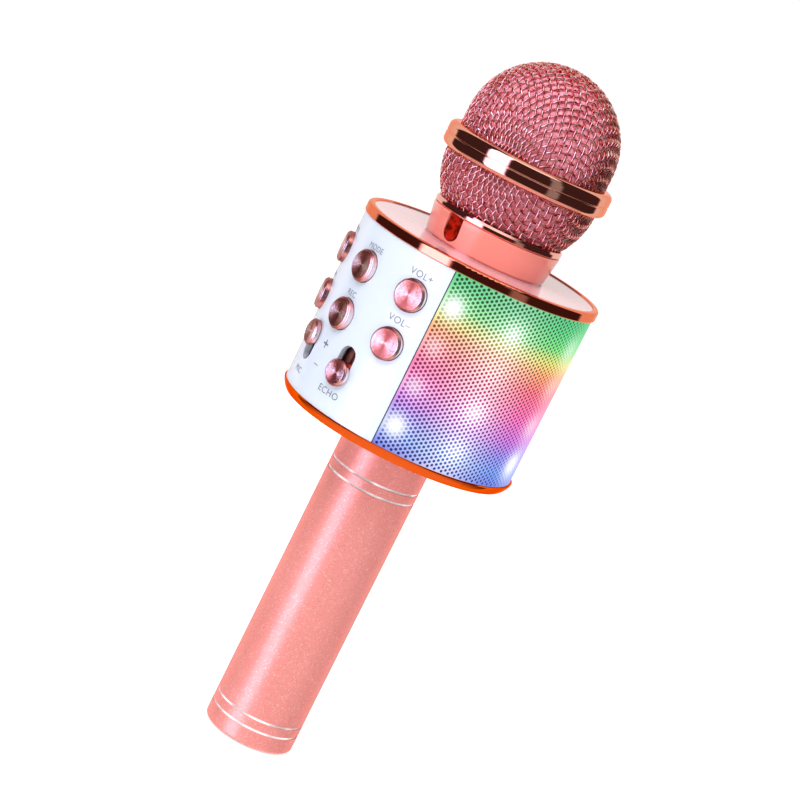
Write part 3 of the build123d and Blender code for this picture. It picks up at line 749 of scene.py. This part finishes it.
def perforated_grille():
    """The drum's lit sheet: round holes in a hexagonal pattern, cut as real openings, in a few panels."""
    first_angle = radians(PANEL_HALF_ANGLE + SEAM_ANGLE)
    length = GRILLE_R * (tau - 2 * first_angle)
    height = GRILLE_HI.z - GRILLE_LO.z
    rows = round(height / HOLE_PITCH)
    pitch = height / rows
    column_step = pitch * sqrt(3) / 2
    columns = ceil(length / column_step) + 1
    corner_r = pitch / sqrt(3)
    corners = [(corner_r * cos(radians(60 * k)), corner_r * sin(radians(60 * k))) for k in range(6)]
    ring = [(HOLE_R * cos(radians(30 * k)), HOLE_R * sin(radians(30 * k))) for k in range(12)]
    groups = [([], [], {}) for _ in range(GRILLE_PIECES)]
    clear = HOLE_R + HOLE_MARGIN

    def vertex(group, u, v):
        u, v = min(max(u, 0.0), length), min(max(v, 0.0), height)
        key = (round(u * 1e7), round(v * 1e7))
        vertices, _, known = group
        if key not in known:
            known[key] = len(vertices)
            vertices.append(round_place(GRILLE_R, first_angle + u / GRILLE_R, GRILLE_LO.z + v))
        return known[key]

    for column in range(columns):
        u = column * column_step
        group = groups[min(GRILLE_PIECES - 1, int(u / length * GRILLE_PIECES))]
        for row in range(rows + 1):
            v = (row + 0.5 * (column % 2)) * pitch
            outer = [vertex(group, u + a, v + b) for a, b in corners]
            if clear < u < length - clear and clear < v < height - clear:
                hole = [vertex(group, u + a, v + b) for a, b in ring]
                for k in range(6):
                    near, far = 2 * k, (2 * k + 2) % 12
                    rim = [outer[k], outer[(k + 1) % 6], hole[far], hole[near + 1], hole[near]]
                    group[1].append(tuple(dict.fromkeys(rim)))
            else:
                border = list(dict.fromkeys(outer))
                if len(border) >= 3:
                    group[1].append(tuple(border))
    for index, (vertices, faces, _) in enumerate(groups):
        name = f"grille_sheet_{index + 1}"
        look = MATERIALS["lit_sheet"]
        made = piece(name, vertices, faces, look, "body", ["speaker_grille"], smooth=False)
        thicken(made, SHEET_THICKNESS)


def acoustic_cloth():
    """Dark cloth close behind the perforated sheet: a closed band round the drum, open at the panel."""
    first = radians(PANEL_HALF_ANGLE + SEAM_ANGLE)
    outer_r, inner_r = GRILLE_R - SHEET_THICKNESS - CLOTH_GAP, GRILLE_R - CLOTH_BACK
    around, up = 180, 24
    vertices, faces = [], []
    for radius in (outer_r, inner_r):
        for row in range(up + 1):
            z = GRILLE_LO.z + (GRILLE_HI.z - GRILLE_LO.z) * row / up
            for j in range(around + 1):
                vertices.append(round_place(radius, first + (tau - 2 * first) * j / around, z))
    line = around + 1
    sheet = line * (up + 1)
    for row in range(up):
        for j in range(around):
            a = row * line + j
            faces.append((a, a + 1, a + 1 + line, a + line))
            faces.append((sheet + a, sheet + a + line, sheet + a + 1 + line, sheet + a + 1))
    for j in range(around):
        top = up * line + j
        faces.append((j, sheet + j, sheet + j + 1, j + 1))
        faces.append((top, top + 1, sheet + top + 1, sheet + top))
    for row in range(up):
        low, high = row * line, (row + 1) * line
        faces.append((low, high, sheet + high, sheet + low))
        low, high = low + around, high + around
        faces.append((low, sheet + low, sheet + high, high))
    look = MATERIALS["lit_cloth"]
    piece("acoustic_cloth", vertices, faces, look, "body", ["speaker_grille"])


def label(name, words, azimuth, z, size):
    """Printed lettering, bent onto the panel's face and just proud of it."""
    curve = bpy.data.curves.new(name, "FONT")
    curve.body = words
    curve.size = size
    curve.align_x = "CENTER"
    curve.align_y = "CENTER"
    curve.space_character = 1.1
    flat = bpy.data.objects.new(name + "_flat", curve)
    bpy.context.scene.collection.objects.link(flat)
    outline = flat.to_mesh()
    printed = [(v.co.x, v.co.y) for v in outline.vertices]
    polygons = [tuple(p.vertices) for p in outline.polygons]
    flat.to_mesh_clear()
    bpy.data.objects.remove(flat)
    radius = PANEL_R + PRINT_PROUD
    vertices = [round_place(radius, radians(azimuth) + x / PANEL_R, z * MM + y) for x, y in printed]
    made = piece(name, vertices, polygons, MATERIALS["ink"], "body", smooth=False)
    thicken(made, PRINT_THICKNESS)


# Each label's piece name and words, then its azimuth, height in mm and lettering size in mm.
LABELS = [
    ("label_volume_up", "VOL+", 30.4, 167.2, 3.1),
    ("label_volume_down", "VOL\u2013", 30.4, 151.5, 3.1),
    ("label_mode", "MODE", 1.0, 166.7, 2.6),
    ("label_record", "REC", -0.5, 150.6, 2.6),
    ("label_power", "POWER", -30.0, 167.0, 2.6),
    ("label_play", "PLAY", -30.0, 150.8, 2.6),
    ("label_echo", "ECHO", 13.5, 120.7, 3.1),
    ("label_microphone", "MIC", -14.5, 120.2, 2.8),
    ("label_plus", "+", -1.4, 132.4, 6.0),
    ("label_minus", "\u2013", -1.4, 125.7, 4.4),
]

dome_pole = Vector((0.0, 0.0, DOME_HI.z))
woven_wires("woven_dome", on_dome, dome_pole, DOME_LO.z - 0.4 * MM, DOME_HI.z, "grille_dome")
woven_wires("woven_cup", on_cup, Vector(), CUP_LO.z - 0.5 * MM, CUP_HI.z, "grille_cup")
foam_windscreen()
perforated_grille()
acoustic_cloth()
for name, words, azimuth, z, size in LABELS:
    label(name, words, azimuth, z, size * MM)


# ==== studio ======================================================================================
def camera():
    data = bpy.data.cameras.new("camera")
    data.lens = CAMERA_LENS
    data.sensor_width = 36.0
    data.clip_start = 0.01
    data.clip_end = 50.0
    made = bpy.data.objects.new("camera", data)
    bpy.context.scene.collection.objects.link(made)
    made.location = CAMERA_AIM + CAMERA_BACK * CAMERA_DISTANCE
    made.rotation_mode = "QUATERNION"
    level = (-CAMERA_BACK).to_track_quat("-Z", "Y")
    made.rotation_quaternion = level @ Quaternion((0.0, 0.0, 1.0), CAMERA_ROLL)
    bpy.context.scene.camera = made


# Soft boxes that polished surfaces mirror: azimuth, half width, lowest and highest elevation in
# degrees, colour and strength.
SOFT_BOXES = [
    (CAMERA_AZIMUTH - 40.0, 15.0, -35.0, 50.0, (0.93, 0.80, 1.16), 4.0),
    (CAMERA_AZIMUTH + 44.0, 8.0, -25.0, 45.0, (1.0, 0.93, 0.95), 0.32),
    (CAMERA_AZIMUTH + 10.0, 55.0, 50.0, 68.0, (1.0, 0.90, 0.90), 1.8),
    (CAMERA_AZIMUTH + 180.0, 58.0, -90.0, 90.0, (1.0, 0.88, 0.84), 0.95),
]


def turn_from(g, azimuth, centre):
    """How far an azimuth is from a centre, in degrees, from 0 to 180."""
    return g.math("ABSOLUTE", g.math("WRAP", g.math("SUBTRACT", azimuth, centre), 180.0, -180.0))


def studio_world():
    """White to the camera, soft light that is strongest from the front to matt surfaces, and a dark
    room with soft boxes to mirrors.
    """
    world = bpy.data.worlds.new("studio")
    world.use_nodes = True
    bpy.context.scene.world = world
    g = Graph(world.node_tree)
    direction = g.add("ShaderNodeTexCoord").outputs["Generated"]
    xyz = g.add("ShaderNodeSeparateXYZ", {0: direction}).outputs
    azimuth = g.round_axis(xyz)
    elevation = g.math("MULTIPLY", g.math("ARCSINE", xyz[2]), 180.0 / pi)
    mirrored = g.ramp(
        g.math("MULTIPLY_ADD", elevation, 1.0 / 180.0, 0.5),
        [
            (0.0, (1.0, 0.80, 0.70)),
            (0.24, (0.95, 0.70, 0.60)),
            (0.34, (0.05, 0.022, 0.022)),
            (0.86, (0.05, 0.022, 0.022)),
            (0.95, (0.9, 0.85, 0.85)),
        ],
    )
    for centre, half, low, high, colour, strength in SOFT_BOXES:
        across = g.step(turn_from(g, azimuth, centre), half + 3.0, half - 3.0)
        over = g.step(elevation, low - 4.0, low + 4.0)
        under = g.step(elevation, high + 4.0, high - 4.0)
        inside = g.math("MULTIPLY", across, g.math("MULTIPLY", over, under))
        mirrored = g.mix(inside, mirrored, rgba([c * strength for c in colour]))
    path = g.add("ShaderNodeLightPath").outputs
    behind = g.step(turn_from(g, azimuth, CAMERA_AZIMUTH), 45.0, 125.0)
    soft = g.mix(behind, rgba((0.84, 0.81, 0.84)), rgba((0.26, 0.24, 0.25)))
    seen = g.mix(path["Is Glossy Ray"], soft, mirrored)
    seen = g.mix(path["Is Camera Ray"], seen, rgba((1.0, 1.0, 1.0)))
    background = g.add("ShaderNodeBackground", {"Color": seen, "Strength": 1.0})
    g.add("ShaderNodeOutputWorld", {"Surface": background.outputs[0]})


def area_light(name, azimuth, elevation, distance, size, power, colour):
    data = bpy.data.lights.new(name, "AREA")
    data.shape = "RECTANGLE"
    data.size, data.size_y = size
    data.energy = power
    data.color = colour
    made = bpy.data.objects.new(name, data)
    bpy.context.scene.collection.objects.link(made)
    a, e = radians(azimuth), radians(elevation)
    outward = Vector((sin(a) * cos(e), -cos(a) * cos(e), sin(e)))
    made.location = CAMERA_AIM + outward * distance
    made.rotation_mode = "QUATERNION"
    made.rotation_quaternion = outward.to_track_quat("Z", "Y")
    made.visible_glossy = False


def pale_floor():
    """A plain pale floor. It's hidden from mirrors, so the soft boxes show whole in the plating."""
    made = bpy.data.materials.new("floor")
    made.use_nodes = True
    g = Graph(made.node_tree)
    white = g.add("ShaderNodeBsdfDiffuse", {"Color": rgba((0.9, 0.9, 0.9))})
    glow = g.add("ShaderNodeEmission", {"Color": rgba((1.0, 1.0, 1.0)), "Strength": 0.55})
    both = g.add("ShaderNodeAddShader", {0: white.outputs[0], 1: glow.outputs[0]})
    g.add("ShaderNodeOutputMaterial", {"Surface": both.outputs[0]})
    mesh = bpy.data.meshes.new("floor")
    rings = [round_place(12.0, tau * k / 64, -0.0002) for k in range(64)]
    mesh.from_pydata(rings, [], [tuple(range(64))])
    mesh.materials.append(made)
    floor = bpy.data.objects.new("floor", mesh)
    bpy.context.scene.collection.objects.link(floor)
    floor.visible_glossy = False


camera()
studio_world()
pale_floor()
area_light("key", CAMERA_AZIMUTH - 30.0, 50.0, 1.3, (0.7, 0.7), 13.0, (1.0, 0.97, 0.98))
area_light("fill", CAMERA_AZIMUTH + 40.0, 30.0, 1.5, (0.8, 1.0), 3.5, (1.0, 0.96, 0.93))
area_light("top", CAMERA_AZIMUTH, 82.0, 1.2, (0.8, 0.8), 3.0, (1.0, 1.0, 1.0))

view_settings = bpy.context.scene.view_settings
view_settings.view_transform = "Standard"
view_settings.look = "None"
